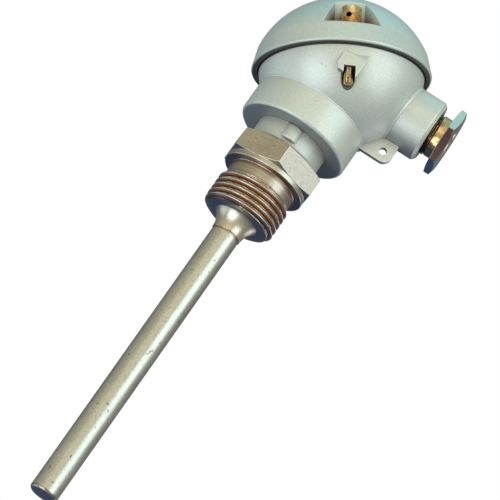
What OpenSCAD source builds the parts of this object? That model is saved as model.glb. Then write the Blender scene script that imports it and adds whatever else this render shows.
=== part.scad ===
// Resistance thermometer: a cast connection head on a screw-in fitting with a protection tube.
// The origin is on the tube's axis at the fitting's sealing face.
// +Z runs up into the head and +X runs towards the cable entry. Lengths are in millimetres.
// Every value can be set by itself: what seats on it, or passes through it, is worked out from it.

/* [Protection tube] */
// Outside diameter of the tube
tube_d = 8; // [7.6:0.1:9]
// Wall of the tube
tube_wall = 1; // [0.6:0.1:1.2]
// Insertion length, from the sealing face to the tip
insertion_l = 106; // [70:1:250]
// Thickness of the welded end disc outside the tube
plug_t = 1.6; // [1.2:0.1:2.4]
// Length of the end plug inside the tube
plug_spigot_l = 2; // [1:0.5:5]
// Rounding of the tip's edge
tip_round = 0.9; // [0.3:0.1:1.1]

/* [Process fitting] */
// Outside diameter of the pipe thread
thread_d = 20.955; // [20.4:0.005:22]
// Length of the full thread
thread_l = 7.7; // [5:0.1:14]
// Width of the thread's end chamfer
thread_chamfer_w = 1.58; // [1:0.02:2]
// Length of that chamfer
thread_chamfer_l = 0.9; // [0.5:0.1:1.5]
// Length of the undercut below the flange
undercut_l = 4.7; // [2:0.1:6]
// Depth of the undercut below the thread's outside
undercut_depth = 0.88; // [0.4:0.02:1.4]
// Length of the hollow-turned hub under the thread
hub_l = 5; // [3:0.5:8]
// Diameter of the hub where it leaves the thread's end face
hub_d = 12.6; // [11:0.1:15]
// Thickness of the hub's thin end at the tube
hub_lip = 0.25; // [0.2:0.05:0.5]
// Diameter of the sealing flange
flange_d = 24; // [22.5:0.1:25]
// Thickness of the sealing flange
flange_t = 1.35; // [1:0.05:2.5]
// Width of the hexagon across its flats
hex_af = 24; // [22:0.5:27]
// Height of the hexagon
hex_h = 6.65; // [5:0.05:10]
// Drop of the chamfer at the hexagon's corners
hex_chamfer = 0.65; // [0.3:0.05:1]
// Turn of the hexagon about the tube's axis
hex_turn = 37.8; // [0:0.1:60]
// Height of the tube's seat above the sealing face
tube_seat_h = 2; // [1:0.5:5]

/* [Neck] */
// Diameter of the thread that joins the fitting to the head
neck_thread_d = 13.16; // [12:0.02:14]
// Length of that thread above the hexagon
neck_thread_l = 8; // [6:0.1:8.8]
// Thickness of the flat gasket between the hexagon and the head
neck_gasket_t = 0.5; // [0.3:0.1:1]
// Distance of that gasket's edge inside the collar's
neck_gasket_inset = 0.5; // [0.2:0.1:1.5]
// Diameter of the head's collar
collar_d = 20.4; // [19:0.1:22]
// Height of the head's collar
collar_h = 5.8; // [4.5:0.1:8]
// Width of the half-round pad on the collar
pad_w = 5.7; // [4:0.1:7]
// How far the half-round pad stands out of the collar
pad_proud = 1.2; // [0.8:0.1:2]
// Height of the pad's lower edge above the collar's lower edge
pad_rise = 1.4; // [0.8:0.1:2]
// Bevel at the two ends of the half-round pad
pad_bevel = 0.35; // [0.2:0.05:0.5]

/* [Bowl] */
// Diameter of the barrel below the bowl
barrel_d = 31.9; // [30:0.1:33]
// Rounding of the barrel's lower rim
barrel_round = 1.1; // [0.5:0.1:2]
// Outside radius of the bowl
bowl_r = 22.5; // [22:0.1:23.4]
// Height of the bowl's centre above the barrel's lower face
bowl_rise = 25.6; // [24.5:0.1:26.5]
// Wall of the bowl
bowl_wall = 2.6; // [2:0.1:2.8]
// Wall of the barrel
barrel_wall = 2.65; // [2:0.05:3]
// Thickness of the floor inside the barrel
floor_t = 2.7; // [2.5:0.1:4]
// Tilt of the lid away from the cable entry
lid_tilt = 29.5; // [26:0.5:33]
// Height of the bowl's rim above its centre, along the lid's axis
rim_h = 0.6; // [0.2:0.1:1]

/* [Eye lug] */
// Thickness of the eye lug
lug_t = 1.6; // [1:0.1:3]
// Reach of the eye lug from the tube's axis
lug_reach = 24.7; // [23:0.1:27]
// Height of the lug's lower edge above the barrel's lower face
lug_rise = 8.9; // [8:0.1:10]
// Corner radius of the lug
lug_corner = 2.4; // [1:0.1:2.8]
// Diameter of the hole in the lug
eye_d = 2.2; // [1.5:0.1:2.6]
// Distance of the eye from the lug's outer and lower edges
eye_inset = 2.95; // [2.5:0.05:3.5]

/* [Cable entry] */
// Drop of the cable entry's axis below the bowl's centre
entry_drop = 1.4; // [0:0.1:2]
// Diameter of the cable entry's boss
entry_d = 17.9; // [16.5:0.1:19]
// Reach of the boss from the tube's axis
entry_reach = 29.6; // [28:0.1:34]
// Chamfer at the mouth of the boss
entry_chamfer = 0.9; // [0.3:0.1:1.2]
// Depth of the boss's threaded hole
entry_depth = 8.1; // [7.6:0.1:8.6]
// Hole from the threaded hole through the bowl's wall
entry_hole_d = 8; // [6:0.1:9.5]
// Thread diameter of the pressure screw
gland_d = 12.5; // [12:0.1:13]
// Depth of the pressure screw's relief, next to its hexagon
gland_relief = 0.25; // [0.1:0.05:0.6]
// Length of the relief
gland_relief_l = 2.4; // [1:0.1:3]
// Stretch of the pressure screw between the boss and its hexagon
gland_stand_l = 3.5; // [2.5:0.1:5]
// Width of the pressure screw's hexagon across its flats
gland_af = 17; // [16:0.5:19]
// Thickness of the pressure screw's hexagon
gland_hex_t = 2.2; // [1.5:0.1:5]
// Chamfer at the hexagon's outer corners
gland_chamfer = 0.45; // [0.2:0.05:0.7]
// Turn of the pressure screw's hexagon about its axis
gland_turn = 30; // [0:1:60]
// Bore of the pressure screw
gland_bore_d = 7.2; // [6:0.1:8]
// Flare at the mouth of the pressure screw's bore
gland_flare = 0.9; // [0.3:0.1:1.2]
// Length of the rubber seal
seal_l = 3; // [2:0.1:3.4]
// Bore of the rubber seal
seal_bore_d = 6.4; // [4:0.1:7]
// Thickness of each washer beside the seal
washer_t = 0.6; // [0.4:0.1:0.8]

/* [Lid] */
// Wall of the lid's lip, which hangs over the bowl
lip_wall = 1.6; // [1.2:0.1:2.4]
// Depth of the lip below the bowl's centre
lip_h = 1.86; // [1.2:0.02:3]
// Rounding of the lip's lower edge
lip_round = 0.6; // [0.2:0.1:0.9]
// Taper of the lid's conical band, on its radius
band_taper = 1.3; // [0.6:0.1:1.6]
// Height of the band's top above the bowl's centre
band_h = 4.05; // [3.6:0.05:5]
// Height of the dome's top above the bowl's centre
dome_h = 19.15; // [17:0.05:21]
// Wall of the lid at the top of the dome
lid_wall = 2; // [1.5:0.1:3]
// How far the lid's hollow starts outside the bowl's inside
hollow_step = 0.3; // [0:0.1:0.8]
// Thickness of the lid's gasket
gasket_t = 1; // [0.6:0.1:1.4]
// Distance of the gasket's outer edge inside the bowl's outside
gasket_inset = 0.3; // [0.2:0.1:0.7]
// Width of the gasket's ring
gasket_w = 1.9; // [1.4:0.1:2.3]
// Step from the band's top up to the floor of a screw pocket
pocket_step = 0.2; // [0.1:0.05:0.6]
// Half width of a screw pocket at the lid's edge
pocket_out_w = 9.8; // [8:0.1:10.4]
// Half width of a screw pocket at its back
pocket_in_w = 4; // [3.6:0.1:5]
// Distance from a lid screw's axis to its pocket's back
pocket_room = 3.2; // [3:0.1:5]
// Wall around a screw pocket
pocket_wall = 1.8; // [1.2:0.1:2.2]

/* [Lid screws] */
// Distance of each lid screw's axis inside the bowl's outside
screw_inset = 2.5; // [2.3:0.1:2.7]
// Shift of both lid screws across the lid, away from the cable entry
screw_shift = 0.7; // [0:0.1:1]
// Diameter of the lid screws
screw_d = 2.6; // [2.4:0.1:3]
// Diameter of a lid screw's head
screw_head_d = 5.4; // [5:0.1:5.8]
// Height of a lid screw's head
screw_head_h = 5.2; // [4:0.1:7]
// Depth of the screw's end below the bowl's centre
screw_end_h = 12.8; // [11:0.1:14]
// Cone at the screw's end
screw_end_cone = 0.5; // [0.3:0.1:0.8]
// Diameter of the wire hole across the screw's head
wire_hole_d = 1.6; // [1:0.1:1.8]
// Depth of the wire hole's axis below the head's top
wire_hole_drop = 2.9; // [2:0.1:3.4]
// Turn of the front screw's wire hole about its own axis
wire_hole_turn = 67; // [0:1:180]
// Width of the driver slot
slot_w = 0.9; // [0.6:0.1:1.2]
// Depth of the driver slot
slot_depth = 0.8; // [0.5:0.1:1]
// Radius of the post around each lid screw
post_r = 3.3; // [3:0.1:3.6]
// Width of the slot that leaves the screw's end open to the outside
screw_relief_d = 3.2; // [3:0.1:3.8]
// Depth below the bowl's centre at which that slot starts
screw_relief_h = 8; // [7:0.1:9]
// Width of the outside pad around each lid screw
boss_w = 6.4; // [5.8:0.1:7]
// Distance of the pad's edge nearer the lid from the tube's axis
boss_edge = 0.05; // [0:0.05:0.4]
// Depth of the pad's lower face below the bowl's centre
boss_drop = 9.7; // [9:0.1:10.2]
// Distance of the pad's face inside the bowl's outside
boss_inset = 0.3; // [0.1:0.1:0.6]
// Drop of the pad's shoulder, where it slopes in under the lid, below the bowl's centre
boss_shoulder = 4.1; // [3:0.1:4.6]
// How far the pad slopes in, from its shoulder to the height of the bowl's centre
boss_slope = 1.05; // [0.6:0.05:1.4]
// Width of the bevel at the pad's lower corner
boss_bevel = 1.1; // [0.5:0.1:1.6]
// Height of that bevel
boss_bevel_h = 1.5; // [0.5:0.1:2]

/* [Terminals] */
// Thickness of the terminal base
base_t = 5; // [4:0.1:6]
// Inner end of each terminal block, from the tube's axis
terminal_in = 4.6; // [4.4:0.1:5]
// Distance of each terminal block's outer end inside the base's edge
terminal_inset = 1.2; // [1:0.1:1.6]
// Width of a terminal block
terminal_w = 5; // [4:0.1:5.4]
// Height of a terminal block
terminal_h = 5; // [4.5:0.1:6]
// Depth of the terminals' seats in the base
seat_depth = 1; // [0.5:0.1:1.5]
// Drop of the leads' axis below the middle of the terminals
lead_drop = 0.3; // [0:0.1:0.5]
// Diameter of the clamp screws
clamp_d = 2.4; // [2:0.1:2.6]
// Diameter of the clamp screws' heads
clamp_head_d = 3.2; // [2.8:0.1:3.3]
// Height of the clamp screws' heads
clamp_head_h = 1.6; // [1:0.1:2]
// Distance of each clamp screw from its end of the terminal block
clamp_inset = 1.75; // [1.65:0.05:1.9]
// Width of the clamp screws' slots
clamp_slot_w = 0.6; // [0.4:0.1:0.8]
// Cone at the clamp screws' ends
clamp_cone = 0.2; // [0.1:0.05:0.3]
// How far the outer clamp screws stand into the hole for a cable's wire
clamp_bite = 0.3; // [0:0.1:0.6]
// Diameter of the hole for a cable's wire
cable_wire_d = 2.2; // [1.6:0.1:2.4]
// Diameter of the two screws that hold the base
base_screw_d = 2.9; // [2.5:0.1:3]
// Diameter of the base screws' heads
base_screw_head_d = 5; // [4.6:0.1:5.2]
// Height of the base screws' heads
base_screw_head_h = 2; // [1.5:0.1:2.5]
// Distance of the base screws from the tube's axis
base_screw_reach = 9; // [8.9:0.1:9.1]
// Engagement of the base screws in the floor
base_screw_bite = 2; // [1.5:0.1:2.2]
// Distance of the earth screw's axis inside the bowl's radius
earth_inset = 10.1; // [10:0.1:10.3]
// Diameter of the post under the earth screw
earth_post_d = 5.6; // [5:0.1:5.8]
// Height of the post's top above the base's top
earth_rise = 5.5; // [5:0.1:6]
// Height of the earth post
earth_post_h = 4; // [3.5:0.1:4.2]
// Width of the web that ties the foot of the earth post to the wall
earth_web_w = 3; // [2:0.1:4]
// Height of that web
earth_web_h = 1.4; // [1:0.1:2]
// Depth of the earth screw's hole
earth_hole_l = 3; // [2:0.1:3.4]
// Diameter of the earth screw's head
earth_head_d = 4.8; // [4.2:0.1:5]
// Diameter of the earth screw's washer
earth_washer_d = 5.2; // [4.6:0.1:5.4]
// Thickness of the earth screw's washer
earth_washer_t = 0.5; // [0.3:0.1:0.8]

/* [Measuring element] */
// Height of the rod's top above the floor of the barrel
rod_rise = 2; // [1:0.1:3]
// Diameter of each bore along the rod
rod_bore_d = 1; // [0.9:0.05:1.2]
// Distance of the rod's bores from its axis
rod_bore_reach = 1.27; // [1.15:0.01:1.4]
// Length of the measuring resistor
element_l = 15; // [8:1:25]
// Diameter of the lead wires
lead_d = 0.6; // [0.4:0.05:0.7]
// Bend radius of the lead wires
lead_bend = 1; // [0.8:0.1:1.4]
// Length of each lead wire inside its terminal
lead_grip = 2.4; // [2.2:0.1:3]

/* [Clearances] */
// Gap between a brazed or bonded piece and its bore
joint_gap = 0.02; // [0.01:0.01:0.05]
// Gap all round a thread or a turning fit
thread_gap = 0.05; // [0.02:0.01:0.08]
// Gap all round a screw in a clearance hole
screw_gap = 0.2; // [0.1:0.05:0.3]
// Gap all round the insulating rod in the tube
rod_gap = 0.7; // [0.5:0.1:1]
// Gap all round the measuring resistor in the tube
element_gap = 0.8; // [0.5:0.1:1.4]
// Gap all round the terminal base in the barrel
base_gap = 0.7; // [0.4:0.1:1]
// Gap all round a loose inner piece
inner_gap = 0.2; // [0.1:0.05:0.3]
// Gap between a screw's end and the bottom of its hole
end_gap = 0.1; // [0.05:0.05:0.4]
// Gap between the lid's lip and the bowl
lip_gap = 0.3; // [0.2:0.05:0.5]

/* [Hidden] */
$fn = 96;
// A cut runs this far past the face that it opens
past = 1;
// One node holds each terminal, so their number and their turn between the base's screws stay as they are
terminals = 4;
terminal_turn = 45;

// Colours as seen: cast aluminium, turned steel, brass, ceramic and rubber
cast_grey = [0.76, 0.80, 0.77];
steel_warm = [0.70, 0.66, 0.55];
tube_steel = [0.72, 0.69, 0.60];
brass = [0.80, 0.62, 0.28];
ceramic = [0.93, 0.91, 0.84];
rubber_dark = [0.12, 0.12, 0.13];
plated = [0.75, 0.75, 0.74];

tip_z = -insertion_l;
tube_end_z = tip_z + plug_t;
tube_inner_r = tube_d / 2 - tube_wall;
thread_r = thread_d / 2;
thread_top_z = -undercut_l;
thread_low_z = thread_top_z - thread_l;
thread_face_z = thread_low_z - thread_chamfer_l;
hub_z = thread_face_z - hub_l;
hex_top_z = flange_t + hex_h;
collar_z = hex_top_z + neck_gasket_t;
barrel_z = collar_z + collar_h;
floor_z = barrel_z + floor_t;
bowl_z = barrel_z + bowl_rise;
bowl_inner_r = bowl_r - bowl_wall;
barrel_inner_r = barrel_d / 2 - barrel_wall;
boss_face = bowl_r - boss_inset;
neck_bore_r = neck_thread_d / 2 + thread_gap;

entry_z = bowl_z - entry_drop;
entry_bore_r = gland_d / 2 + thread_gap;
seat_x = entry_reach - entry_depth;
seal_x = seat_x + washer_t;
outer_washer_x = seal_x + seal_l;
gland_x = outer_washer_x + washer_t;
gland_hex_x = entry_reach + gland_stand_l;
gland_end_x = gland_hex_x + gland_hex_t;

screw_reach = bowl_r - screw_inset;
gasket_r = bowl_r - gasket_inset;
lid_seat_h = rim_h + gasket_t;
lip_inner_r = bowl_r + lip_gap;
lid_r = lip_inner_r + lip_wall;
band_r = lid_r - band_taper;
dome_rise = dome_h - band_h;
dome_r = (band_r * band_r + dome_rise * dome_rise) / (2 * dome_rise);
lid_hollow_r = bowl_inner_r + hollow_step;
hollow_h = dome_h - lid_wall;
hollow_rise = hollow_h - band_h;
hollow_r = (lid_hollow_r * lid_hollow_r + hollow_rise * hollow_rise) / (2 * hollow_rise);
screw_hole_r = screw_d / 2 + thread_gap;
pocket_h = band_h + pocket_step;
pocket_back = screw_reach - pocket_room;

rod_r = tube_inner_r - rod_gap;
element_r = tube_inner_r - element_gap;
base_r = barrel_inner_r - base_gap;
base_top_z = floor_z + base_t;
terminal_z = base_top_z - seat_depth;
terminal_top_z = terminal_z + terminal_h;
terminal_out = base_r - terminal_inset;
clamp_in = terminal_in + clamp_inset;
clamp_out = terminal_out - clamp_inset;
lead_z = terminal_z + terminal_h / 2 - lead_drop;
earth_z = base_top_z + earth_rise;
earth_reach = bowl_r - earth_inset;
element_z = tube_end_z + plug_spigot_l + inner_gap;
rod_z = element_z + element_l;
rod_top_z = floor_z + rod_rise;

// Places its children in the lid's own frame: origin at the bowl's centre, +Z along the lid's axis.
module in_lid_frame() {
    translate([0, 0, bowl_z]) rotate([0, -lid_tilt, 0]) children();
}

// Places its children on the cable entry's axis at distance x, with their +Z pointing out of the head.
module on_entry(x) {
    translate([x, 0, entry_z]) rotate([0, 90, 0]) children();
}

// Repeats its children on both sides of the XZ plane.
module both_sides() {
    for (side = [0, 1]) mirror([0, side, 0]) children();
}

// Repeats its children at each terminal, with +X pointing outwards.
module at_each_terminal() {
    for (i = [0 : terminals - 1]) rotate(terminal_turn + i * 360 / terminals) children();
}

// A flat ring with its lower face at z = 0.
module ring(outer_r, inner_r, height) {
    difference() {
        cylinder(r = outer_r, h = height);
        translate([0, 0, -past]) cylinder(r = inner_r, h = height + 2 * past);
    }
}

// A hexagonal prism with its corners bevelled below and above by cones that start at the flats.
module bevelled_hex(across_flats, height, lower_bevel, upper_bevel) {
    flat_r = across_flats / 2;
    corner_r = across_flats / sqrt(3);
    // The cones run on past the corners at the same slope
    run_on = 1 + past / (corner_r - flat_r);
    intersection() {
        cylinder(r = corner_r, h = height, $fn = 6);
        rotate_extrude() polygon([
            [0, 0], [flat_r, 0], [corner_r + past, lower_bevel * run_on],
            [corner_r + past, height - upper_bevel * run_on], [flat_r, height], [0, height]
        ]);
    }
}

// A slotted cheese-head screw: head upwards from z = 0, shank downwards with a conical end.
module slotted_screw(shank_d, shank_l, head_d, head_h, slot, slot_deep, end_cone) {
    difference() {
        union() {
            cylinder(d = head_d, h = head_h);
            translate([0, 0, end_cone - shank_l]) cylinder(d = shank_d, h = shank_l - end_cone + head_h / 2);
            translate([0, 0, -shank_l]) cylinder(r1 = shank_d / 2 - end_cone, r2 = shank_d / 2, h = end_cone);
        }
        translate([-head_d, -slot / 2, head_h - slot_deep]) cube([2 * head_d, slot, slot_deep + past]);
    }
}

// Seamless tube, open at both ends: the plug closes the lower end, the fitting holds the upper one.
module protection_tube() {
    color(tube_steel)
        translate([0, 0, tube_end_z])
            ring(tube_d / 2, tube_inner_r, tube_seat_h - tube_end_z);
}

// Welded end plug: a disc with a rounded edge, and a spigot inside the tube.
module tube_end_plug() {
    color(tube_steel) {
        rotate_extrude() {
            difference() {
                translate([0, tip_z]) square([tube_d / 2, plug_t]);
                translate([tube_d / 2 - tip_round, tip_z - past]) square([tip_round + past, tip_round + past]);
            }
            intersection() {
                translate([tube_d / 2 - tip_round, tip_z + tip_round]) circle(r = tip_round);
                translate([tube_d / 2 - tip_round, tip_z]) square([tip_round, tip_round]);
            }
        }
        translate([0, 0, tube_end_z - plug_t / 2])
            cylinder(r = tube_inner_r - joint_gap, h = plug_t / 2 + plug_spigot_l);
    }
}

// Turned fitting in one piece: hollow-turned hub, pipe thread at its outside diameter,
// undercut, sealing flange, hexagon and the neck thread that screws into the head.
module process_fitting() {
    hub_in_r = tube_d / 2 + hub_lip;
    hub_sweep = hub_d / 2 - hub_in_r;
    hub_arc = (hub_sweep * hub_sweep + hub_l * hub_l) / (2 * hub_sweep);
    color(steel_warm)
        difference() {
            union() {
                rotate_extrude() difference() {
                    translate([0, hub_z]) square([hub_d / 2, hub_l]);
                    translate([hub_in_r + hub_arc, hub_z]) circle(r = hub_arc);
                }
                rotate_extrude() polygon([
                    [0, thread_face_z], [thread_r - thread_chamfer_w, thread_face_z],
                    [thread_r, thread_low_z], [thread_r, thread_top_z],
                    [thread_r - undercut_depth, thread_top_z + undercut_depth], [thread_r - undercut_depth, 0],
                    [flange_d / 2, 0], [flange_d / 2, flange_t], [0, flange_t]
                ]);
                translate([0, 0, flange_t])
                    rotate(hex_turn) bevelled_hex(hex_af, hex_h, hex_chamfer, hex_chamfer);
                cylinder(d = neck_thread_d, h = hex_top_z + neck_thread_l);
            }
            translate([0, 0, hub_z - past])
                cylinder(r = tube_d / 2 + joint_gap, h = tube_seat_h - hub_z + past);
            cylinder(r = tube_inner_r, h = hex_top_z + neck_thread_l + past);
        }
}

// Flat gasket squeezed between the hexagon and the head's collar.
module neck_gasket() {
    color(rubber_dark)
        translate([0, 0, hex_top_z]) ring(collar_d / 2 - neck_gasket_inset, neck_thread_d / 2 + inner_gap, neck_gasket_t);
}

// Half-round pad on the front of the collar, bevelled at both ends.
module collar_pad() {
    pad_r = pad_w / 2;
    pad_l = barrel_z - collar_z - pad_rise;
    translate([0, pad_r - collar_d / 2 - pad_proud, collar_z + pad_rise]) {
        cylinder(r1 = pad_r - pad_bevel, r2 = pad_r, h = pad_bevel);
        translate([0, 0, pad_bevel]) cylinder(r = pad_r, h = pad_l - 2 * pad_bevel);
        translate([0, 0, pad_l - pad_bevel]) cylinder(r1 = pad_r, r2 = pad_r - pad_bevel, h = pad_bevel);
    }
}

// Outside of the barrel: a cylinder with a rounded lower rim, up into the bowl.
module barrel() {
    barrel_r = barrel_d / 2;
    rotate_extrude() {
        difference() {
            translate([0, barrel_z]) square([barrel_r, bowl_rise]);
            translate([barrel_r - barrel_round, barrel_z - past])
                square([barrel_round + past, barrel_round + past]);
        }
        intersection() {
            translate([barrel_r - barrel_round, barrel_z + barrel_round]) circle(r = barrel_round);
            translate([barrel_r - barrel_round, barrel_z]) square(barrel_round);
        }
    }
}

// Cast pad outside the bowl, where a lid screw's thread runs through.
module screw_pad() {
    low = bowl_z - boss_drop;
    inner_y = bowl_inner_r - past;
    intersection() {
        translate([boss_edge, 0, 0]) rotate([90, 0, 90]) linear_extrude(boss_w) polygon([
            [-inner_y, low], [-boss_face, low], [-boss_face, bowl_z - boss_shoulder],
            [boss_slope - boss_face, bowl_z], [-inner_y, bowl_z]
        ]);
        translate([0, -inner_y / 2, 0]) rotate([90, 0, 0]) linear_extrude(bowl_r) polygon([
            [boss_edge, low + boss_bevel_h], [boss_edge + boss_bevel, low],
            [boss_edge + boss_w + past, low], [boss_edge + boss_w + past, bowl_z + past],
            [boss_edge, bowl_z + past]
        ]);
    }
}

// Flat lug between the barrel and the cable entry, with an eye for a sealing wire.
module eye_lug() {
    lug_z = barrel_z + lug_rise;
    inner_x = barrel_d / 2 - barrel_wall / 2;
    translate([0, lug_t / 2, 0]) rotate([90, 0, 0]) linear_extrude(lug_t) difference() {
        union() {
            translate([inner_x, lug_z]) square([lug_reach - lug_corner - inner_x, entry_z - lug_z]);
            translate([inner_x, lug_z + lug_corner])
                square([lug_reach - inner_x, entry_z - lug_z - lug_corner]);
            translate([lug_reach - lug_corner, lug_z + lug_corner]) circle(r = lug_corner);
        }
        translate([lug_reach - eye_inset, lug_z + eye_inset]) circle(d = eye_d);
    }
}

// Places its children on the front lid screw's axis, at a height in the lid's frame.
module on_screw(height) {
    translate([-screw_shift, -screw_reach, height]) children();
}

// Post inside the bowl around a lid screw.
module screw_post() {
    in_lid_frame() on_screw(-screw_end_h) cylinder(r = post_r, h = screw_end_h + rim_h + past);
}

// Hollow of the head: the barrel's bore and the bowl's inside, less the posts that stand in it.
module head_hollow() {
    difference() {
        union() {
            translate([0, 0, floor_z]) cylinder(r = barrel_inner_r, h = bowl_z - floor_z);
            translate([0, 0, bowl_z]) sphere(r = bowl_inner_r);
        }
        both_sides() screw_post();
        translate([-earth_reach, 0, earth_z - earth_post_h]) cylinder(d = earth_post_d, h = earth_post_h);
        translate([-bowl_r, -earth_web_w / 2, earth_z - earth_post_h])
            cube([bowl_r - earth_reach, earth_web_w, earth_web_h]);
    }
}

// Holes in the head for the lid screws, with a slot to the outside at their lower ends.
module lid_screw_holes() {
    slot_l = screw_end_h + 2 * past - screw_relief_h;
    both_sides() in_lid_frame() on_screw(0) {
        translate([0, 0, -screw_end_h - past]) cylinder(r = screw_hole_r, h = screw_end_h + rim_h + 2 * past);
        translate([0, 0, -screw_relief_h - slot_l]) {
            cylinder(d = screw_relief_d, h = slot_l);
            translate([-screw_relief_d / 2, -screw_inset - past, 0])
                cube([screw_relief_d, screw_inset + past, slot_l]);
        }
    }
}

// Cast head in one piece: collar, barrel, spherical bowl, cable entry, screw pads and eye lug.
module head_body() {
    color(cast_grey)
        difference() {
            union() {
                translate([0, 0, collar_z]) cylinder(d = collar_d, h = collar_h + floor_t / 2);
                collar_pad();
                barrel();
                translate([0, 0, bowl_z]) sphere(r = bowl_r);
                on_entry(0) cylinder(d = entry_d, h = entry_reach - entry_chamfer);
                on_entry(entry_reach - entry_chamfer)
                    cylinder(r1 = entry_d / 2, r2 = entry_d / 2 - entry_chamfer, h = entry_chamfer);
                both_sides() screw_pad();
                eye_lug();
            }
            head_hollow();
            in_lid_frame() translate([-2 * bowl_r, -2 * bowl_r, rim_h]) cube(4 * bowl_r);
            translate([0, 0, collar_z - past]) cylinder(r = neck_bore_r, h = floor_z - collar_z + 2 * past);
            on_entry(bowl_inner_r / 2) cylinder(d = entry_hole_d, h = entry_reach);
            on_entry(seat_x) cylinder(r = entry_bore_r, h = entry_depth + past);
            lid_screw_holes();
            both_sides() translate([0, -base_screw_reach, floor_z - base_screw_bite])
                cylinder(r = base_screw_d / 2 + thread_gap, h = base_screw_bite + past);
            translate([-earth_reach, 0, earth_z - earth_hole_l])
                cylinder(r = base_screw_d / 2 + thread_gap, h = earth_hole_l + past);
        }
}

// Plan of a screw pocket, wider at the lid's edge than at its back; grow adds its wall.
module pocket_plan(grow) {
    far = lid_r + past;
    slope = (pocket_out_w - pocket_in_w) / (lid_r - pocket_back);
    back = pocket_back - grow;
    side = grow * sqrt(1 + slope * slope);
    out_w = pocket_out_w + slope * past + side;
    in_w = pocket_in_w - slope * grow + side;
    translate([-screw_shift, 0]) polygon([[-out_w, -far], [out_w, -far], [in_w, -back], [-in_w, -back]]);
}

// Half section of the lid's outside: rounded lip, conical band and dome.
// The band's line runs on upwards, where the dome's arc trims it.
module lid_section() {
    lip_z = -lip_h;
    shoulder_z = lip_z + lip_round;
    slope = (lid_r - band_r) / (band_h - shoulder_z);
    intersection() {
        union() {
            difference() {
                polygon([
                    [0, lip_z], [lid_r, lip_z], [lid_r, shoulder_z],
                    [lid_r - slope * (dome_h - shoulder_z), dome_h], [0, dome_h]
                ]);
                translate([lid_r - lip_round, lip_z - past]) square([lip_round + past, lip_round + past]);
            }
            intersection() {
                translate([lid_r - lip_round, shoulder_z]) circle(r = lip_round);
                translate([lid_r - lip_round, lip_z]) square([lip_round, lip_round]);
            }
        }
        translate([0, dome_h - dome_r]) circle(r = dome_r);
    }
}

// Half section of the lid's hollow above its seat.
module lid_hollow_section() {
    intersection() {
        translate([0, hollow_h - hollow_r]) circle(r = hollow_r);
        translate([0, lid_seat_h - past]) square([lid_hollow_r, hollow_h]);
    }
}

// Cast lid: a dome with a lip over the bowl and a pocket on each side for a screw's head.
module lid() {
    color(cast_grey)
        in_lid_frame() difference() {
            rotate_extrude() lid_section();
            difference() {
                rotate_extrude() lid_hollow_section();
                both_sides() linear_extrude(dome_h) pocket_plan(pocket_wall);
            }
            translate([0, 0, -lip_h - past]) cylinder(r = lip_inner_r, h = lip_h + lid_seat_h + past);
            both_sides() {
                translate([0, 0, pocket_h]) linear_extrude(dome_h) pocket_plan(0);
                on_screw(0) cylinder(r = screw_d / 2 + screw_gap, h = pocket_h + past);
            }
        }
}

// Die-cut gasket bonded in the lid, with an ear around each screw.
module lid_gasket() {
    color(rubber_dark)
        in_lid_frame() translate([0, 0, rim_h]) difference() {
            union() {
                ring(gasket_r, gasket_r - gasket_w, gasket_t);
                intersection() {
                    both_sides() on_screw(0) cylinder(r = post_r, h = gasket_t);
                    cylinder(r = gasket_r, h = gasket_t);
                }
            }
            both_sides() on_screw(-past) cylinder(r = screw_d / 2 + screw_gap, h = gasket_t + 2 * past);
        }
}

// Lid screw with a hole across its head for a sealing wire; turn points that hole.
module lid_screw(turn) {
    color(brass)
        on_screw(pocket_h) rotate(turn) difference() {
            slotted_screw(screw_d, pocket_h + screw_end_h, screw_head_d, screw_head_h,
                slot_w, slot_depth, screw_end_cone);
            translate([0, 0, screw_head_h - wire_hole_drop]) rotate([0, 90, 0])
                cylinder(d = wire_hole_d, h = 2 * screw_head_d, center = true);
        }
}

module lid_screw_front() {
    in_lid_frame() lid_screw(wire_hole_turn);
}

module lid_screw_back() {
    in_lid_frame() mirror([0, 1, 0]) lid_screw(0);
}

// Pressure screw of the cable entry: threaded shank, relief and hexagon around a flared bore.
module gland_screw() {
    shank_l = gland_hex_x - gland_relief_l - gland_x;
    total_l = gland_end_x - gland_x;
    bore_r = gland_bore_d / 2;
    color(brass)
        on_entry(gland_x) difference() {
            union() {
                cylinder(d = gland_d, h = shank_l);
                cylinder(r = gland_d / 2 - gland_relief, h = gland_hex_x - gland_x + past);
                translate([0, 0, gland_hex_x - gland_x])
                    rotate(gland_turn) bevelled_hex(gland_af, gland_hex_t, gland_chamfer / 2, gland_chamfer);
            }
            translate([0, 0, -past]) cylinder(r = bore_r, h = total_l + 2 * past);
            translate([0, 0, total_l - gland_flare])
                cylinder(r1 = bore_r, r2 = bore_r + gland_flare + past, h = gland_flare + past);
        }
}

// Steel washer on either side of the rubber seal.
module gland_washer(x) {
    color(plated) on_entry(x) ring(entry_bore_r - inner_gap / 2, gland_bore_d / 2 + inner_gap, washer_t);
}

module gland_outer_washer() {
    gland_washer(outer_washer_x);
}

module gland_inner_washer() {
    gland_washer(seat_x);
}

// Rubber ring that the pressure screw squeezes round the cable.
module gland_seal() {
    color(rubber_dark) on_entry(seal_x) ring(entry_bore_r - inner_gap / 2, seal_bore_d / 2, seal_l);
}

// Glazed ceramic base with a seat for each terminal and a hole for the leads.
module terminal_base() {
    color(ceramic)
        difference() {
            translate([0, 0, floor_z]) cylinder(r = base_r, h = base_t);
            translate([0, 0, floor_z - past]) cylinder(r = rod_r + inner_gap, h = base_t + 2 * past);
            at_each_terminal() translate([terminal_in - inner_gap, -terminal_w / 2 - inner_gap, terminal_z])
                cube([terminal_out - terminal_in + 2 * inner_gap, terminal_w + 2 * inner_gap, seat_depth + past]);
            both_sides() translate([0, -base_screw_reach, floor_z - past])
                cylinder(r = base_screw_d / 2 + screw_gap, h = base_t + 2 * past);
        }
}

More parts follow.
